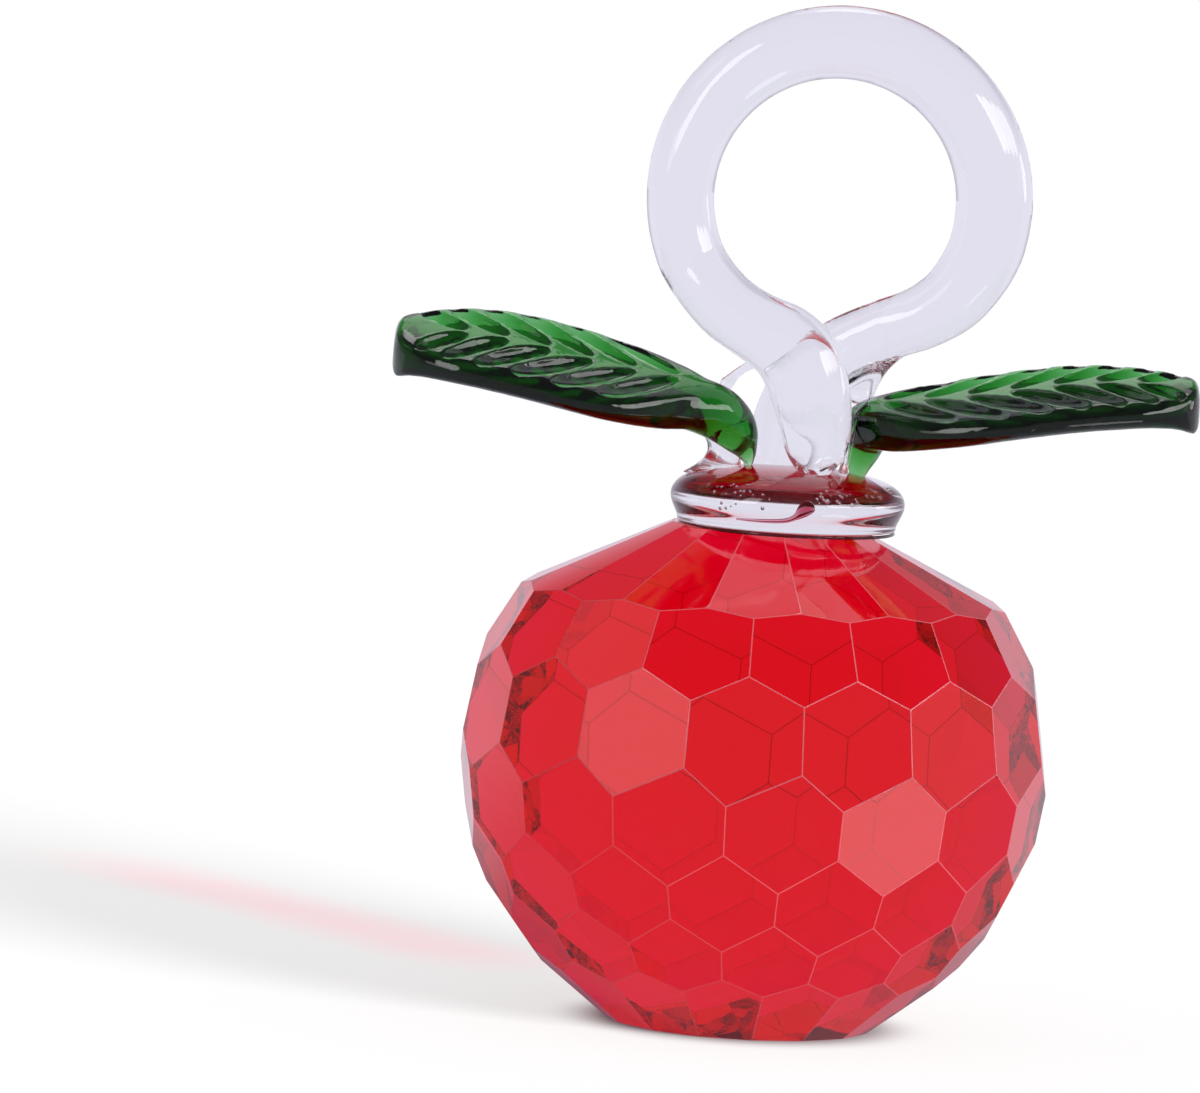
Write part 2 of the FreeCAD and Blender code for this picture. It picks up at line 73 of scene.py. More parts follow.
GLOW_PATCH_PLACE = (68.0, -50.0)       # a glowing patch painted into the floor, seen only in reflections: one facet at the right mirrors it as a painted highlight
GLOW_PATCH_RADIUS = 24.0
GLOW_PATCH_EDGE = 1.0
GLOW_PATCH_COLOUR = (2.0, 2.0, 2.0, 1.0)
FLOOR_GLOW_NEAR = (0.10, 0.10, 0.16, 1.0)       # what facets mirror of the floor in front
FLOOR_GLOW_FAR = (0.42, 0.41, 0.50, 1.0)        # and behind
FAR_FROM, FAR_TO = 20.0, 60.0                   # where the one goes over into the other

# Softboxes that the glass mirrors: direction, half angle in degrees, brightness
SOFTBOXES = [
    ((-0.75, -0.64, 0.19), 7.0, 1.7),      # the bright facet at the left
    ((-0.76, -0.07, 0.65), 8.0, 0.7),      # two faintly lit facets
    ((0.98, -0.05, 0.12), 7.0, 0.7),
    ((-0.60, -0.75, 0.28), 8.0, 4.0),      # a tall box at the front left, in three rounds
    ((-0.54, -0.70, 0.47), 7.5, 4.5),
    ((-0.48, -0.62, 0.62), 6.5, 4.0),
    ((0.72, -0.60, 0.34), 8.5, 5.5),       # a long box from the key lamp round to the right side
    ((0.82, -0.43, 0.38), 9.0, 5.0),
    ((0.90, -0.20, 0.39), 9.0, 4.0),
    ((0.92, 0.03, 0.38), 8.0, 3.5),
    ((0.96, 0.25, 0.12), 7.0, 3.5),
    ((0.0, 0.60, 0.80), 14.0, 0.9),        # two wide dim ones high behind, on the leaves
    ((0.0, 0.87, 0.50), 8.0, 0.8),
    ((0.0, 0.52, 0.86), 8.0, 2.6),         # and a small one on the top facet
]
HIGH_ROOM = (0.14, 0.14, 0.16, 1.0)    # the dark ceiling that the upper facets mirror
HIGH_FROM, HIGH_TO = 0.14, 0.46        # parts of a direction along +Z between which it starts
SOFTBOX_INSIDE, SOFTBOX_OUTSIDE = 0.001, 0.004  # how soft a softbox's edge is, in cosines
BENT_LIGHT = (0.33, 0.32, 0.37, 1.0)   # what glass sees sideways, where it bends light most
BENT_FROM, BENT_TO = 0.22, 0.60        # parts of a direction along Y: from bent light to backdrop

# The crystal
EDGE_WIDTH = 0.06         # the narrow flat ground along each edge between two facets
EDGE_STEPS = 2
EDGE_FROM_ANGLE = 4.0     # degrees between facets from which there is an edge to grind
FLAT_BELOW_ANGLE = 0.5    # triangles that lie flatter than this to each other are one facet
WELD_DISTANCE = 0.001

# The collar: radius and height above the table of each ring of its section
COLLAR_CENTRE = (1.9, 0.0)
TABLE_HEIGHT = 51.0
COLLAR_RINGS = [
    (10.9, -0.05), (11.2, 0.25), (11.15, 0.7), (11.6, 1.5), (12.0, 2.5), (11.95, 3.3),
    (11.5, 4.1), (10.7, 4.7), (9.3, 5.3), (6.5, 5.9), (3.0, 6.2),
]
COLLAR_SIDES = 96
COLLAR_ROUNDING = 2       # times that its faces are divided
COLLAR_TOP = 56.8         # where the roots of stem and leaves meet it
BEAD_RADIUS = 10.95       # the bead of cement under its rim
BEAD_WIDTH = 0.34
BEAD_DROP_SHARE = 0.25    # of its width, below the table
BEAD_SIDES = 12

# The stem: the ring's middle, and the rod's width at angles round it
RING_MIDDLE = (5.1, 0.0, 84.6)
RING_RADIUS = 15.95
RING_START = -16.0
RING_END = 206.0
RING_STEPS = 44
RING_LEAN = 1.6           # how far the rod's ends stand apart in depth where ring and legs meet
RING_WIDTHS = [(-16, 7.7), (0, 7.9), (45, 7.8), (90, 7.5), (135, 7.2), (180, 6.9), (206, 6.9)]
# The legs, from the ring down: middle x, y, z, heading in degrees above +X, and width of the rod
BACK_LEG = [
    (19.4, 1.1, 77.9, 244, 7.5), (17.3, 1.6, 75.0, 225, 7.1), (14.3, 2.3, 72.9, 209, 6.6),
    (11.4, 3.0, 71.7, 204, 6.4), (8.9, 3.5, 70.4, 209, 6.7), (6.4, 3.9, 68.9, 219, 6.9),
    (3.9, 4.0, 66.4, 229, 7.2), (2.2, 4.0, 63.5, 244, 7.2), (1.2, 4.0, 60.6, 256, 7.1),
    (0.8, 4.0, 58.2, 265, 6.9), (0.7, 4.0, 56.3, 270, 6.6),
]
# The front leg has two widths: across, as the front shows it, and from front to back
FRONT_LEG = [
    (-7.7, -1.6, 75.5, 306, 6.9, 6.9), (-5.3, -2.3, 73.1, 322, 7.0, 6.9),
    (-2.4, -2.9, 71.4, 331, 7.2, 6.8), (0.3, -3.4, 70.1, 326, 8.0, 6.7),
    (2.4, -3.7, 68.0, 304, 8.6, 6.6), (3.4, -3.8, 65.3, 288, 8.3, 6.6),
    (4.1, -3.8, 62.6, 280, 7.7, 6.6), (4.4, -3.9, 60.6, 273, 7.1, 6.4),
    (4.45, -4.0, 59.2, 270, 6.4, 6.0), (4.45, -4.1, 58.2, 270, 5.4, 5.2),
    (4.45, -4.1, 57.4, 270, 4.2, 4.2), (4.45, -4.2, 56.3, 270, 2.2, 2.2),
]
# The web of glass that ran down from the back leg to the right leaf: x, y, z, thick, wide
WEB = [
    (10.2, 3.0, 71.2, 8.0, 3.6), (10.0, 3.0, 69.9, 8.0, 3.6), (9.4, 2.9, 68.7, 6.6, 3.4),
    (8.9, 2.6, 67.5, 5.2, 3.1), (8.6, 2.1, 66.2, 4.2, 2.8), (8.5, 1.6, 64.9, 3.4, 2.4),
    (8.7, 1.2, 63.8, 2.6, 2.0),
]
# The thread of glass between the left leaf's root and the legs: middle, heading, thick, wide
THREAD = [
    ((-5.4, 0.4, 64.7), 45, 1.8, 1.8), ((-4.0, 0.6, 66.3), 42, 1.1, 1.2),
    ((-2.6, 0.8, 67.3), 34, 1.2, 1.4), ((-0.8, 1.0, 68.2), 28, 2.2, 2.2),
]
ROD_SIDES = 48
STEPS_BETWEEN = 4         # rings of a rod between two stations

# The leaves: the way they point along X, the stalk's root, where the blade bends off from it and
# how high, the blade's length and arch, degrees banked, and how far from the root its grooves start
LEAVES = {
    "left": dict(way=-1, root=(-3.5, 0.0), bend=2.6, length=32.8, arch=4.9, bank=19.0, rise=6.7,
                 grooves=[6.5, 10.8, 15.2, 19.6, 24.0, 28.3]),
    "right": dict(way=1, root=(8.8, 0.0), bend=-1.2, length=35.4, arch=4.8, bank=12.5, rise=5.1,
                  grooves=[2.4, 6.6, 10.9, 15.2, 19.6, 24.0, 28.3]),
}
LEAF_WIDTH = 18.6
LEAF_THICKNESS = 3.4
# The blade's stations as shares of its sizes: how far along, how wide, risen and thick
WIDE, RISEN, THICK = 1, 2, 3     # columns of the stations
BLADE = [
    (0.00, 0.20, 0.02, 0.90), (0.04, 0.32, 0.05, 1.25), (0.08, 0.44, 0.09, 1.36),
    (0.13, 0.58, 0.14, 1.36), (0.18, 0.71, 0.21, 1.28), (0.247, 0.84, 0.31, 1.16),
    (0.341, 0.95, 0.45, 1.07), (0.435, 1.00, 0.60, 1.0), (0.529, 1.00, 0.74, 1.0),
    (0.624, 0.98, 0.86, 1.0), (0.718, 0.93, 0.94, 1.0), (0.812, 0.84, 0.98, 1.0),
    (0.887, 0.72, 0.98, 1.05), (0.944, 0.58, 0.94, 1.2), (0.975, 0.46, 0.89, 1.45),
    (0.992, 0.34, 0.86, 1.45), (1.00, 0.2, 0.85, 1.0),
]
# The stalks' stations: out from the root, up above the collar, degrees from upright, thick, wide
STALKS = {
    "left": [
        (-1.2, -0.4, 0, 0.8, 0.8), (-1.2, 0.5, 0, 1.2, 1.2), (-0.95, 1.3, 2, 2.1, 2.0),
        (-0.4, 2.2, 8, 3.3, 3.2), (0.1, 3.3, 18, 4.5, 4.2), (0.8, 4.5, 36, 5.2, 4.8),
        (2.1, 5.7, 62, 5.6, 5.8), (3.8, 6.4, 80, 5.4, 7.4), (5.6, 6.9, 84, 4.8, 9.4),
        (7.8, 7.2, 86, 3.6, 10.8),
    ],
    "right": [
        (0.1, -0.4, 0, 1.9, 1.9), (0.1, 0.4, 0, 2.2, 2.2), (0.3, 1.3, 5, 2.9, 2.8),
        (0.5, 2.3, 8, 3.5, 3.6), (0.7, 3.4, 16, 3.9, 4.2), (1.2, 4.6, 36, 4.2, 5.0),
        (2.4, 5.4, 66, 4.2, 7.0), (4.0, 5.6, 84, 3.8, 9.6), (6.0, 5.8, 86, 3.2, 11.6),
    ],
}
BLADE_SIDES = 64
BLADE_SQUARE_SHARE = 0.5  # how far the blade's section is from round to square
BLADE_TILT = 88.0         # degrees from upright
MIDRIB_WIDTH = 1.3        # left standing between the grooves of the two sides
GROOVE_ANGLE = 44.0       # degrees from the midrib
GROOVE_WIDTH = 2.9
GROOVE_DEPTH = 1.1
GROOVE_ROUND = 1.4        # half the height of the egg that presses it
GROOVE_OVERRUN = 0.4      # of the egg, past each end of the groove
GROOVE_SHORT_OF_RIM = 0.7
GROOVE_STEP = 0.1         # in which the way to the rim is paced out
GROOVE_LIMIT_SHARE = 0.97  # of the blade's length, past which no groove runs
NOTCH_RADIUS = 1.2        # between the grooves' ends, which scallops the rim
NOTCH_BEYOND_RIM = 1.1
JOINT_VOXEL = 0.3         # before the grooves are pressed, stalk and blade flow together
JOINT_MELTING = 16        # rounds of smoothing
LEAF_VOXEL = 0.2
LEAF_MELTING = 8
STEM_VOXEL = 0.26
STEM_MELTING = 20
MELT_SHARE = 0.5          # how far a point moves in a round, towards the middle of its neighbours

# Clear glass pulled up from the collar: middle, heading, thick, wide
LEFT_TACK = [
    ((-6.0, 0.3, 55.9), 90, 6.2, 4.6), ((-5.3, 0.3, 56.9), 90, 4.5, 3.8),
    ((-4.9, 0.3, 57.9), 90, 3.6, 3.4), ((-4.8, 0.3, 59.0), 92, 3.6, 3.3),
    ((-5.1, 0.3, 60.3), 96, 4.0, 3.6), ((-5.3, 0.3, 61.4), 96, 3.4, 3.2),
]
RIGHT_TACK = [
    ((7.2, -2.3, 56.2), 86, 1.3, 2.2), ((7.4, -2.6, 57.6), 84, 0.9, 2.0),
    ((7.7, -2.9, 59.6), 82, 0.8, 2.0), ((8.0, -2.9, 61.6), 76, 0.8, 2.0),
    ((8.6, -2.6, 63.2), 56, 0.8, 2.2), ((9.6, -2.2, 64.2), 34, 0.8, 2.2),
]
TACK_VOXEL = 0.14
TACK_MELTING = 4

# Bubbles in the collar: x from and to, height from and to, how many
BUBBLES = [(-6.4, 0.2, 54.4, 55.7, 20), (4.6, 11.4, 54.2, 55.8, 34), (-5.4, -0.4, 53.1, 53.9, 6)]
BUBBLE_RADII = (0.09, 0.20)
BUBBLE_DEPTH_SHARES = (0.93, 0.97)     # of the collar's radius at their height
BUBBLE_SEED = 7
BALL_RINGS = 12
# A thread of red glass that got into the collar, with a drop at its end
RED_THREAD = [
    ((4.2, -10.6, 54.3), 60, 0.6, 0.5), ((4.0, -10.7, 54.0), 60, 1.4, 1.1),
    ((3.4, -10.7, 53.5), 50, 1.2, 1.0), ((2.7, -10.7, 52.95), 40, 0.6, 0.6),
    ((1.6, -10.7, 52.55), 20, 0.5, 0.5), ((-0.6, -10.4, 52.4), 5, 0.4, 0.4),
    ((-3.0, -9.4, 52.4), 0, 0.2, 0.3),
]
RED_THREAD_SIDES = 16

# Glass: the colour that it lets through, and how deep that colour is, for a metre of way
GLASS_INDEX = 1.52
RED_TINT, RED_DENSITY = (0.9955, 0.20, 0.75, 1.0), 330.0
RED_RIPPLE, RED_RIPPLE_SIZE = 0.0008, 0.8      # millimetres, as all ripples
EDGE_ROUGHNESS = 0.25
EDGE_SKIN = (1.0, 0.40, 0.48, 1.0)
EDGE_CLEAR_SHARE = 0.82                        # the rest is matt, in the colour of the skin
CLEAR_TINT, CLEAR_DENSITY = (0.9, 0.9, 0.94, 1.0), 6.0
GREEN_TINT, GREEN_DENSITY = (0.10, 0.70, 0.14, 1.0), 950.0
GREEN_RIPPLE, GREEN_RIPPLE_SIZE = 0.014, 0.9
RIPPLE_DETAIL = 1.0
DEEP_RED_TINT, DEEP_RED_DENSITY = (0.75, 0.05, 0.25, 1.0), 2600.0
DEEP_RED_INDEX = 1.1                           # as it lies in glass, it bends light little
# painted shade: the film of cement is tinted dark red, which darkens the band seen down through the
# collar
CEMENT_SHADE_TINT, CEMENT_SHADE_DENSITY = (0.60, 0.05, 0.20, 1.0), 5500.0
CEMENT_INDEX = 1.02                            # for the same reason
# painted shade: the bead of cement under the collar's rim is tinted dark to draw the shaded line there
BEAD_SHADE_TINT, BEAD_SHADE_DENSITY = (0.25, 0.22, 0.3, 1.0), 9000.0


# Shaders

class Signal:
    """A socket to write plain sums with: each operator adds a Math node."""

    def __init__(self, shader, socket):
        self.shader = shader
        self.socket = socket

    def other(self, output):
        """Another output of the same node."""
        return Signal(self.shader, self.socket.node.outputs[output])

    def maths(self, operation, *values):
        return self.shader.add("ShaderNodeMath", {"operation": operation}, dict(enumerate(values)))

    def __add__(self, other):
        return self.maths("ADD", self, other)

    def __sub__(self, other):
        return self.maths("SUBTRACT", self, other)

    def __rsub__(self, other):
        return self.maths("SUBTRACT", other, self)

    def __mul__(self, other):
        return self.maths("MULTIPLY", self, other)

    def __truediv__(self, other):
        return self.maths("DIVIDE", self, other)

    __radd__ = __add__
    __rmul__ = __mul__

    def limited(self):
        return self.maths("MAXIMUM", self.maths("MINIMUM", self, 1.0), 0.0)

    def step(self, low, high):
        """0 below low, 1 above high, and smooth between them."""
        share = ((self - low) / (high - low)).limited()
        return share * share * (3.0 - 2.0 * share)


class Shader:
    """The nodes of a material, a world or a lamp."""

    def __init__(self, owner):
        owner.use_nodes = True
        self.tree = owner.node_tree
        self.tree.nodes.clear()

    def add(self, kind, settings=None, sockets=None, output=0):
        """A new node with its settings, and the values or links of its sockets."""
        node = self.tree.nodes.new(kind)
        for name, value in (settings or {}).items():
            setattr(node, name, value)
        for key, value in (sockets or {}).items():
            if isinstance(value, Signal):
                self.tree.links.new(value.socket, node.inputs[key])
            else:
                node.inputs[key].default_value = value
        return Signal(self, node.outputs[output]) if len(node.outputs) else None

    def mix(self, share, low, high):
        """A colour between two colours."""
        factor, first, second, result = 0, 6, 7, 2
        sockets = {factor: share, first: low, second: high}
        return self.add("ShaderNodeMix", {"data_type": "RGBA"}, sockets, result)

    def dot(self, vector, direction):
        return self.add(
            "ShaderNodeVectorMath",
            {"operation": "DOT_PRODUCT"},
            {0: vector, 1: Vector(direction).normalized()},
            "Value",
        )


# Camera, world and floor

def place_camera():
    data = bpy.data.cameras.new("camera")
    data.sensor_width = SENSOR_WIDTH
    data.lens = FOCAL_PIXELS / PHOTO_WIDTH * SENSOR_WIDTH
    data.clip_start = NEAREST_SEEN
    data.clip_end = FARTHEST_SEEN
    yaw, pitch, roll = (math.radians(a) for a in (CAMERA_YAW, CAMERA_PITCH, CAMERA_ROLL))
    ahead = Vector((math.sin(yaw) * math.cos(pitch), math.cos(yaw) * math.cos(pitch), -math.sin(pitch)))
    level = Vector((math.cos(yaw), -math.sin(yaw), 0))
    above = level.cross(ahead)
    right = level * math.cos(roll) + above * math.sin(roll)
    up = -level * math.sin(roll) + above * math.cos(roll)
    turn = Matrix((right, up, -ahead)).transposed().to_4x4()
    camera = bpy.data.objects.new("camera", data)
    camera.matrix_world = Matrix.Translation(Vector((0, -CAMERA_DISTANCE, CAMERA_HEIGHT)) * MM) @ turn
    bpy.context.scene.collection.objects.link(camera)
    bpy.context.scene.camera = camera


def light_world():
    """A pale backdrop behind and a darker room in front and above, with softboxes."""
    world = bpy.data.worlds.new("studio")
    bpy.context.scene.world = world
    shader = Shader(world)
    seen = shader.add("ShaderNodeLightPath", output="Is Camera Ray")
    direction = shader.add("ShaderNodeTexCoord", output="Generated")
    behind = shader.dot(direction, (0, 1, 0)).step(BEHIND_FROM, BEHIND_TO)
    mirrored = shader.mix(behind, FRONT_ROOM, BACKDROP)
    height = shader.dot(direction, (0, 0, 1))
    mirrored = shader.mix(height.step(HIGH_FROM, HIGH_TO), mirrored, HIGH_ROOM)
    for place, half_angle, brightness in SOFTBOXES:
        edge = math.cos(math.radians(half_angle))
        inside = shader.dot(direction, place).step(edge - SOFTBOX_OUTSIDE, edge + SOFTBOX_INSIDE)
        mirrored = shader.mix(inside, mirrored, (brightness, brightness, brightness, 1.0))
    colour = shader.mix(seen.other("Is Glossy Ray"), FILL, mirrored)
    along_y = shader.dot(direction, (0, 1, 0))
    straight = along_y.maths("ABSOLUTE", along_y).step(BENT_FROM, BENT_TO)
    thrown_about = seen.other("Glossy Depth").limited()
    through = shader.mix((straight + thrown_about).limited(), BENT_LIGHT, BACKDROP)
    colour = shader.mix(seen.other("Is Transmission Ray"), colour, through)
    colour = shader.mix(seen, colour, WHITE)
    background = shader.add("ShaderNodeBackground", None, {"Color": colour, "Strength": 1.0})
    shader.add("ShaderNodeOutputWorld", None, {"Surface": background})


def light_key():
    """The soft lamp at the front right whose shadow falls back and to the left."""
    data = bpy.data.lights.new("key", "SUN")
    data.angle = math.radians(KEY_SPREAD)
    data.energy = KEY_STRENGTH
    lamp = bpy.data.objects.new("key", data)
    lamp.rotation_euler = Vector(KEY_DIRECTION).to_track_quat("Z", "Y").to_euler()
    lamp.visible_camera = False
    lamp.visible_glossy = False
    lamp.visible_transmission = False
    bpy.context.scene.collection.objects.link(lamp)


def floor_glow(shader):
    """White, with a painted streak of red light in the shadow and a painted shadow round the foot."""
    place = shader.add("ShaderNodeTexCoord", output="Object")
    x = shader.add("ShaderNodeSeparateXYZ", None, {"Vector": place}, "X")
    y = x.other("Y")
    # the painted streak of red light that the crystal throws into its shadow
    start, end = Vector(STREAK_START) * MM, Vector(STREAK_END) * MM
    along = (end - start).normalized()
    away = (x - start.x) * -along.y + (y - start.y) * along.x
    down = (x - start.x) * along.x + (y - start.y) * along.y
    length = (end - start).length
    rise = down.step(0.0, length * STREAK_RISE_SHARE)
    fade = rise * (1.0 - down.step(length * STREAK_FADE_SHARE, length * STREAK_END_SHARE))
    waves = shader.add(
        "ShaderNodeTexNoise", None,
        {"Vector": place, "Scale": STREAK_WAVES, "Detail": STREAK_WAVE_DETAIL},
    )
    across = away.maths("ABSOLUTE", away)
    inside = 1.0 - across.step(0.0, STREAK_HALF_WIDTH * MM)
    streak = inside * fade * (STREAK_EVEN_SHARE + STREAK_WAVE_SHARE * waves)
    colour = shader.mix(streak.limited(), FLOOR_GLOW, STREAK_GLOW)
    # the painted shadow round the foot
    radius = x.maths("SQRT", x * x + y * y)
    shade = 1.0 - radius.step(FOOT_SHADE_FROM * MM, FOOT_SHADE_TO * MM)
    return shader.mix(shade * shade, colour, FOOT_SHADE)


def floor_material():
    material = bpy.data.materials.new("white_floor")
    shader = Shader(material)
    seen = shader.add("ShaderNodeLightPath", output="Is Camera Ray")
    bright = (seen + seen.other("Is Glossy Ray") + seen.other("Is Transmission Ray")).limited()
    matt = shader.add("ShaderNodeBsdfDiffuse", None, {"Color": FLOOR_PAINT})
    place = shader.add("ShaderNodeTexCoord", output="Object")
    # the painted glowing patch, brighter than white, which only reflections see
    glow_patch = Vector((*GLOW_PATCH_PLACE, 0)) * MM
    away = shader.add("ShaderNodeVectorMath", {"operation": "DISTANCE"}, {0: place, 1: glow_patch}, "Value")
    inside = 1.0 - away.step((GLOW_PATCH_RADIUS - GLOW_PATCH_EDGE) * MM, GLOW_PATCH_RADIUS * MM)
    y = shader.add("ShaderNodeSeparateXYZ", None, {"Vector": place}, "Y")
    mirrored = shader.mix(y.step(FAR_FROM * MM, FAR_TO * MM), FLOOR_GLOW_NEAR, FLOOR_GLOW_FAR)
    mirrored = shader.mix(inside, mirrored, GLOW_PATCH_COLOUR)
    colour = shader.mix(seen.other("Is Transmission Ray"), mirrored, FLOOR_GLOW_IN_GLASS)
    colour = shader.mix(seen, colour, floor_glow(shader))
    glow = shader.add("ShaderNodeEmission", None, {"Color": colour, "Strength": bright})
    both = shader.add("ShaderNodeAddShader", None, {0: matt, 1: glow})
    shader.add("ShaderNodeOutputMaterial", None, {"Surface": both})
    return material


def lay_floor():
    bpy.ops.object.select_all(action="DESELECT")
    bpy.ops.mesh.primitive_plane_add(size=2 * FLOOR_HALF_WIDTH, location=(0, 0, -FLOOR_DROP * MM))
    floor = bpy.context.object
    floor.name = "floor"
    bpy.ops.object.transform_apply()
    floor.data.materials.append(floor_material())


# Glass

def glass(name, tint=WHITE, density=0.0, roughness=0.0, index=GLASS_INDEX, ripple=0.0,
          ripple_size=1.0, skin=WHITE, clear_share=1.0):
    """Glass that colours what passes through it, more the longer the way."""
    material = bpy.data.materials.new(name)
    shader = Shader(material)
    sockets = {
        "Base Color": skin,
        "Roughness": roughness,
        "IOR": index,
        "Transmission Weight": clear_share,
    }
    if ripple:
        place = shader.add("ShaderNodeTexCoord", output="Object")
        noise = shader.add(
            "ShaderNodeTexNoise", None,
            {"Vector": place, "Scale": 1 / (ripple_size * MM), "Detail": RIPPLE_DETAIL},
        )
        bump = {"Height": noise, "Distance": ripple * MM, "Strength": 1.0}
        sockets["Normal"] = shader.add("ShaderNodeBump", None, bump)
    surface = shader.add("ShaderNodeBsdfPrincipled", None, sockets)
    output = {"Surface": surface}
    if density:
        colouring = {"Color": tint, "Density": density}
        output["Volume"] = shader.add("ShaderNodeVolumeAbsorption", None, colouring)
    shader.add("ShaderNodeOutputMaterial", None, output)
    return material


def red_crystal():
    return glass("red_crystal", RED_TINT, RED_DENSITY, ripple=RED_RIPPLE, ripple_size=RED_RIPPLE_SIZE)


def ground_edge():
    """The same glass where it is ground and not polished."""
    return glass("ground_edge", RED_TINT, RED_DENSITY, roughness=EDGE_ROUGHNESS, skin=EDGE_SKIN,
                 clear_share=EDGE_CLEAR_SHARE)


def clear_glass():
    return glass("clear_glass", CLEAR_TINT, CLEAR_DENSITY)


def green_glass():
    return glass("green_glass", GREEN_TINT, GREEN_DENSITY, ripple=GREEN_RIPPLE,
                 ripple_size=GREEN_RIPPLE_SIZE)


def bubble_air():
    """Air in glass, which is glass the other way round."""
    return glass("bubble_air", index=1 / GLASS_INDEX)


def deep_red_glass():
    return glass("deep_red", DEEP_RED_TINT, DEEP_RED_DENSITY, index=DEEP_RED_INDEX)


def cement_glass():
    """Cement that lies in glass, tinted dark red: painted shade that deepens the red seen through the
    collar's top.
    """
    return glass("clear_cement", CEMENT_SHADE_TINT, CEMENT_SHADE_DENSITY, index=CEMENT_INDEX)


# cement tinted dark as painted shade under the collar's rim
def shaded_bead_glass():
    return glass("cement_bead_painted_shade", BEAD_SHADE_TINT, BEAD_SHADE_DENSITY)


# Modelling

def clear_selection():
    bpy.ops.object.select_all(action="DESELECT")


def activate(piece):
    clear_selection()
    piece.select_set(True)
    bpy.context.view_layer.objects.active = piece


def modify(piece, kind, **settings):
    """Adds a modifier and applies it."""
    activate(piece)
    modifier = piece.modifiers.new(kind.lower(), kind)
    for name, value in settings.items():
        setattr(modifier, name, value)
    bpy.ops.object.modifier_apply(modifier=modifier.name)


def turn_about_y(centre, degrees):
    """Turns the selection from +X towards +Z."""
    bpy.ops.transform.rotate(value=math.radians(degrees), orient_axis="Y", center_override=centre)


def read_off(rows, place, by=0, column=1):
    """What a table's column holds at a place on its column 'by', also between two rows."""
    for low, high in zip(rows, rows[1:]):
        if place <= high[by]:
            part = (place - low[by]) / (high[by] - low[by])
            return low[column] + part * (high[column] - low[column])
    return rows[-1][column]


def between(before, start, end, after, share):
    """A value on the smooth curve through four values."""
    slope_in, slope_out = (end - before) / 2, (after - start) / 2
    square, cube = share ** 2, share ** 3
    return (start * (2 * cube - 3 * square + 1) + slope_in * (cube - 2 * square + share)
            + end * (3 * square - 2 * cube) + slope_out * (cube - square))


def smoothed(stations):
    """The stations with more of them between, on smooth curves."""
    flat = [(*middle, heading, thick, wide) for middle, heading, thick, wide in stations]
    flat = [flat[0]] + flat + [flat[-1]]
    result = []
    for before, start, end, after in zip(flat, flat[1:], flat[2:], flat[3:]):
        for step in range(STEPS_BETWEEN):
            values = [between(*four, step / STEPS_BETWEEN) for four in zip(before, start, end, after)]
            result.append((Vector(values[:3]), *values[3:]))
    result.append(stations[-1])
    return result


def pull_rod(name, stations, sides, square_share=0.0):
    """A rod drawn from station to station: middle, heading above +X, thickness and width."""
    stations = smoothed(stations)
    clear_selection()
    middle, heading, thick, wide = stations[0]
    bpy.ops.mesh.primitive_circle_add(
        vertices=sides, radius=1 / 2, fill_type="NGON", location=middle,
        rotation=(0, math.radians(QUARTER_TURN - heading), 0),
    )
    rod = bpy.context.object
    rod.name = name
    if square_share:
        modify(rod, "CAST", cast_type="CUBOID", factor=square_share)
    rod.scale = (thick, wide, 1)
    bpy.ops.object.transform_apply()
    bpy.ops.object.mode_set(mode="EDIT")
    bpy.ops.mesh.select_all(action="SELECT")
    for before, after in zip(stations, stations[1:]):
        centre = Vector(after[0])
        bpy.ops.mesh.extrude_region_move(TRANSFORM_OT_translate={"value": centre - Vector(before[0])})
        turn_about_y(centre, after[1] - before[1])
        thicker, wider = after[2] / before[2], after[3] / before[3]
        bpy.ops.transform.resize(value=(thicker, wider, thicker), center_override=centre)
    bpy.ops.mesh.select_all(action="SELECT")
    bpy.ops.mesh.normals_make_consistent(inside=False)
    bpy.ops.object.mode_set(mode="OBJECT")
    return rod


def finish_piece(piece, material, slot, *nodes):
    """Brings a piece to metres, gives it its glass and ties it to the model."""
    piece.data.transform(Matrix.Scale(MM, 4))
    if not piece.data.materials:
        piece.data.materials.append(material)
    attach(piece, "root")
    if nodes:
        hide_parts(*nodes)


def join(pieces):
    """Makes one object of several, named as the first."""
    activate(pieces[0])
    for piece in pieces:
        piece.select_set(True)
    bpy.ops.object.join()
    return pieces[0]


def ball(middle, radii, turn=(0, 0, 0)):
    """A sphere or an egg."""
    clear_selection()
    bpy.ops.mesh.primitive_uv_sphere_add(
        segments=2 * BALL_RINGS, ring_count=BALL_RINGS, radius=1, location=middle, rotation=turn,
    )
    piece = bpy.context.object
    piece.scale = radii
    bpy.ops.object.transform_apply()
    return piece


def melt(piece, voxel, rounds):
    """Melts what touches into one skin and lets it flow smooth."""
    modify(piece, "REMESH", mode="VOXEL", voxel_size=voxel)
    modify(piece, "SMOOTH", factor=MELT_SHARE, iterations=rounds)
    activate(piece)
    bpy.ops.object.shade_smooth()


# Pieces

def crystal_body(red, edge):
    """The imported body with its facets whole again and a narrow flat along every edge."""
    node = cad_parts["crystal_body"]
    mesh = node.data.copy()
    mesh.transform(Matrix.Scale(1 / MM, 4))
    mesh.materials.clear()
    mesh.materials.append(red)
    mesh.materials.append(edge)
    piece = bpy.data.objects.new("cut_crystal", mesh)
    bpy.context.scene.collection.objects.link(piece)
    activate(piece)
    bpy.ops.object.mode_set(mode="EDIT")
    bpy.ops.mesh.select_all(action="SELECT")
    bpy.ops.mesh.remove_doubles(threshold=WELD_DISTANCE)
    bpy.ops.mesh.dissolve_limited(angle_limit=math.radians(FLAT_BELOW_ANGLE))
    bpy.ops.object.mode_set(mode="OBJECT")
    modify(piece, "BEVEL", width=EDGE_WIDTH, segments=EDGE_STEPS, limit_method="ANGLE",
           angle_limit=math.radians(EDGE_FROM_ANGLE), material=1)
    finish_piece(piece, red, "red_crystal", "crystal_body")


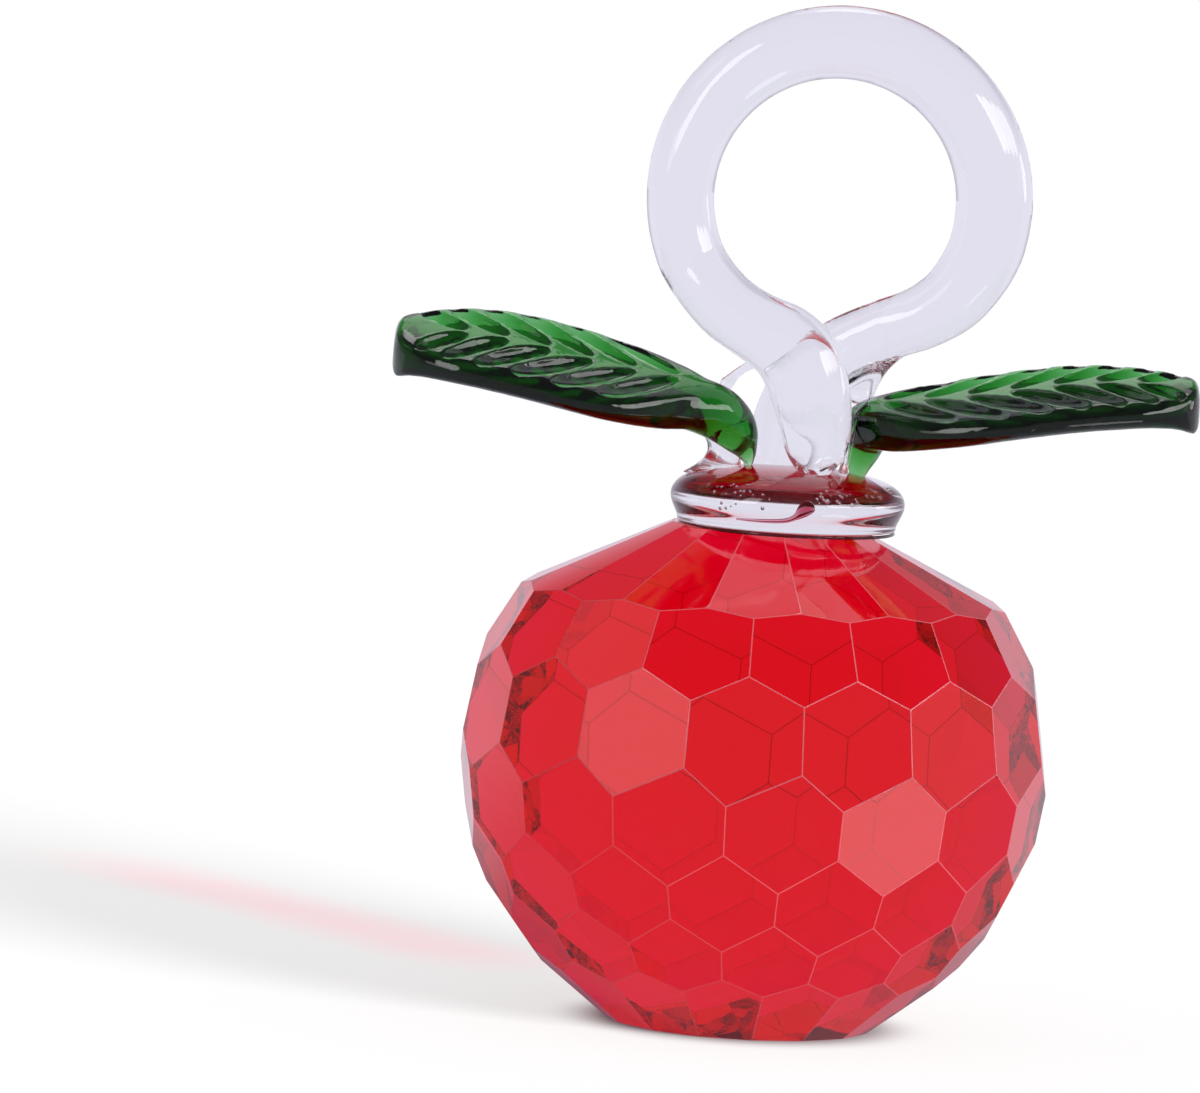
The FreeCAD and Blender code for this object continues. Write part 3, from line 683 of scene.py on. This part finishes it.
def collar(clear):
    """A puddle of glass: rings of its section, extruded one from the other."""
    clear_selection()
    first_radius, first_height = COLLAR_RINGS[0]
    bpy.ops.mesh.primitive_circle_add(
        vertices=COLLAR_SIDES, radius=first_radius, fill_type="NGON",
        location=(*COLLAR_CENTRE, TABLE_HEIGHT + first_height),
    )
    piece = bpy.context.object
    piece.name = "clear_collar"
    bpy.ops.object.transform_apply()
    bpy.ops.object.mode_set(mode="EDIT")
    bpy.ops.mesh.select_all(action="SELECT")
    for (radius, height), (wider, higher) in zip(COLLAR_RINGS, COLLAR_RINGS[1:]):
        bpy.ops.mesh.extrude_region_move(TRANSFORM_OT_translate={"value": (0, 0, higher - height)})
        share = wider / radius
        centre = (*COLLAR_CENTRE, TABLE_HEIGHT + higher)
        bpy.ops.transform.resize(value=(share, share, 1), center_override=centre)
    bpy.ops.mesh.select_all(action="SELECT")
    bpy.ops.mesh.normals_make_consistent(inside=False)
    bpy.ops.object.mode_set(mode="OBJECT")
    modify(piece, "SUBSURF", levels=COLLAR_ROUNDING, render_levels=COLLAR_ROUNDING)
    activate(piece)
    bpy.ops.object.shade_smooth()
    finish_piece(piece, clear, "clear_glass", "collar")


def stem_ring(clear):
    """The rod: up the back leg, round the ring and down the front leg, with the web between."""
    stations = [
        ((x, y, z), heading - HALF_TURN, width, width)
        for x, y, z, heading, width in reversed(BACK_LEG)
    ]
    for number in range(RING_STEPS + 1):
        share = number / RING_STEPS
        angle = RING_START + (RING_END - RING_START) * share
        across, up = math.cos(math.radians(angle)), math.sin(math.radians(angle))
        middle = (
            RING_MIDDLE[0] + RING_RADIUS * across,
            RING_LEAN * (1 / 2 - share),
            RING_MIDDLE[2] + RING_RADIUS * up,
        )
        width = read_off(RING_WIDTHS, angle)
        stations.append((middle, angle + QUARTER_TURN, width, width))
    stations += [((x, y, z), heading, thick, wide) for x, y, z, heading, thick, wide in FRONT_LEG]
    rod = pull_rod("stem_ring", stations, ROD_SIDES)
    web = pull_rod("web", [((x, y, z), DOWN, thick, wide) for x, y, z, thick, wide in WEB], ROD_SIDES)
    thread = pull_rod("thread", THREAD, ROD_SIDES)
    piece = join([rod, web, thread])
    melt(piece, STEM_VOXEL, STEM_MELTING)
    finish_piece(piece, clear, "clear_glass", "stem_loop")


def tack(name, stations, clear, node):
    """A bit of clear glass that ties a leaf's stalk to the collar."""
    piece = pull_rod(name, stations, ROD_SIDES)
    melt(piece, TACK_VOXEL, TACK_MELTING)
    finish_piece(piece, clear, "clear_glass", node)


def cement_bead(shade_for_bead):
    """A bead of cement under the collar's rim, tinted dark: painted shade for the thin dark line there.
    """
    clear_selection()
    bpy.ops.mesh.primitive_torus_add(
        major_segments=COLLAR_SIDES, minor_segments=BEAD_SIDES, major_radius=BEAD_RADIUS,
        minor_radius=BEAD_WIDTH / 2,
        location=(*COLLAR_CENTRE, TABLE_HEIGHT - BEAD_WIDTH * BEAD_DROP_SHARE),
    )
    piece = bpy.context.object
    piece.name = "cement_bead"
    bpy.ops.object.transform_apply()
    bpy.ops.object.shade_smooth()
    finish_piece(piece, shade_for_bead, "clear_cement")


def bubbles(air):
    """Small bubbles just under the collar's front, in three clusters."""
    chance = random.Random(BUBBLE_SEED)
    pieces = []
    for left, right, low, high, count in BUBBLES:
        for _ in range(count):
            x = chance.uniform(left, right)
            height = chance.uniform(low, high)
            surface = read_off(COLLAR_RINGS, height - TABLE_HEIGHT, by=1, column=0)
            rim = surface * chance.uniform(*BUBBLE_DEPTH_SHARES)
            offset = x - COLLAR_CENTRE[0]
            y = -math.sqrt(max(rim ** 2 - offset ** 2, 0))
            radius = chance.uniform(*BUBBLE_RADII)
            pieces.append(ball((x, y, height), (radius, radius, radius)))
    piece = join(pieces)
    piece.name = "collar_bubbles"
    bpy.ops.object.shade_smooth()
    finish_piece(piece, air, "clear_glass")


def red_thread(deep_red):
    """The drop and thread of red glass near the front of the collar."""
    piece = pull_rod("red_thread", RED_THREAD, RED_THREAD_SIDES)
    activate(piece)
    bpy.ops.object.shade_smooth()
    finish_piece(piece, deep_red, "red_crystal")


def cement_film(cement):
    """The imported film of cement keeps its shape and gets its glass."""
    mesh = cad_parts["adhesive_film"].data
    mesh.materials.clear()
    mesh.materials.append(cement)


def upper_face(leaf, along, across):
    """A point on a blade's upper face."""
    x, y = leaf["root"]
    share = min(max(along / leaf["length"], 0), 1)
    middle = leaf["arch"] * read_off(BLADE, share, column=RISEN)
    height = middle + LEAF_THICKNESS * read_off(BLADE, share, column=THICK) / 2
    out = leaf["way"] * (leaf["bend"] + along)
    return Vector((x + out, y + across, COLLAR_TOP + leaf["rise"] + height))


def rim_distance(leaf, along):
    """From a blade's midrib to its rim."""
    return LEAF_WIDTH / 2 * read_off(BLADE, along / leaf["length"], column=WIDE)


def stalk_stations(side):
    """Up the stalk, round its bend and into the blade."""
    leaf = LEAVES[side]
    x, y = leaf["root"]
    way = leaf["way"]
    return [
        ((x + way * out, y, COLLAR_TOP + up), QUARTER_TURN - way * tilt, thick, wide)
        for out, up, tilt, thick, wide in STALKS[side]
    ]


def blade_stations(leaf):
    """From the stalk's bend out to the tip."""
    x, y = leaf["root"]
    stations = []
    for along, wide, risen, thick in BLADE:
        middle = (
            x + leaf["way"] * (leaf["bend"] + along * leaf["length"]),
            y,
            COLLAR_TOP + leaf["rise"] + leaf["arch"] * risen,
        )
        heading = QUARTER_TURN - leaf["way"] * BLADE_TILT
        stations.append((middle, heading, LEAF_THICKNESS * thick, LEAF_WIDTH * wide))
    return stations


def groove_end(leaf, start):
    """How far a groove runs before it comes near the rim: along and across the blade."""
    angle = math.radians(GROOVE_ANGLE)
    reach = 0.0
    along, across = start, MIDRIB_WIDTH / 2
    while along < leaf["length"] * GROOVE_LIMIT_SHARE:
        if across > rim_distance(leaf, along) - GROOVE_SHORT_OF_RIM:
            break
        reach += GROOVE_STEP
        along = start + reach * math.cos(angle)
        across = MIDRIB_WIDTH / 2 + reach * math.sin(angle)
    return along, across


def pressing_tools(leaf):
    """Egg-shaped tools for the grooves, and balls for the notches between their ends."""
    tools = []
    for side in (-1, 1):
        ends = []
        for place in leaf["grooves"]:
            start = place - leaf["bend"]
            along, across = groove_end(leaf, start)
            low = upper_face(leaf, start, side * MIDRIB_WIDTH / 2)
            high = upper_face(leaf, along, side * across)
            turn = (high - low).to_track_quat("X", "Z").to_euler()
            middle = (low + high) / 2 + Vector((0, 0, GROOVE_ROUND - GROOVE_DEPTH))
            reach = (high - low).length / 2 + GROOVE_OVERRUN
            tools.append(ball(middle, (reach, GROOVE_WIDTH / 2, GROOVE_ROUND), turn))
            ends.append(along)
        for first, second in zip(ends, ends[1:]):
            along = (first + second) / 2
            place = upper_face(leaf, along, side * (rim_distance(leaf, along) + NOTCH_BEYOND_RIM))
            tools.append(ball(place, (NOTCH_RADIUS, NOTCH_RADIUS, NOTCH_RADIUS)))
    return join(tools)


def press_leaf(side, green):
    """Stalk and blade, pressed with grooves, melted into one and tilted."""
    leaf = LEAVES[side]
    stalk = pull_rod("green_leaf_" + side, stalk_stations(side), ROD_SIDES)
    blade = pull_rod("blade", blade_stations(leaf), BLADE_SIDES, BLADE_SQUARE_SHARE)
    piece = join([stalk, blade])
    melt(piece, JOINT_VOXEL, JOINT_MELTING)
    tool = pressing_tools(leaf)
    modify(piece, "BOOLEAN", operation="DIFFERENCE", object=tool, solver="EXACT", use_self=True)
    bpy.data.objects.remove(tool)
    melt(piece, LEAF_VOXEL, LEAF_MELTING)
    foot = Vector((*leaf["root"], COLLAR_TOP))
    tilt = Matrix.Rotation(math.radians(leaf["bank"]), 4, "X")
    piece.data.transform(Matrix.Translation(foot) @ tilt @ Matrix.Translation(-foot))
    finish_piece(piece, green, "green_glass", "leaf_" + side)


# The whole scene


def set_up_scene():
    scene = bpy.context.scene
    scene.view_settings.view_transform = "Standard"
    scene.cycles.max_bounces = LIGHT_BOUNCES
    scene.cycles.transmission_bounces = LIGHT_BOUNCES
    scene.cycles.glossy_bounces = LIGHT_BOUNCES


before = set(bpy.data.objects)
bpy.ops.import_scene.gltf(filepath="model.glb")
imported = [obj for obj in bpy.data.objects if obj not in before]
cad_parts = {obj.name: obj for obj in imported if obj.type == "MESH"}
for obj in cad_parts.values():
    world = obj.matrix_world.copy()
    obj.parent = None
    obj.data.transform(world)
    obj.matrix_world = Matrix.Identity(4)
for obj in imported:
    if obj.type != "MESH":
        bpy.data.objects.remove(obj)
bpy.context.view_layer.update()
set_up_scene()
place_camera()
light_world()
light_key()
lay_floor()
clear = clear_glass()
green = green_glass()
crystal_body(red_crystal(), ground_edge())
collar(clear)
bubbles(bubble_air())
cement_bead(shaded_bead_glass())
red_thread(deep_red_glass())
stem_ring(clear)
press_leaf("left", green)
press_leaf("right", green)
tack("tack_glass_left", LEFT_TACK, clear, "tack_left")
tack("tack_glass_right", RIGHT_TACK, clear, "tack_right")
cement_film(cement_glass())
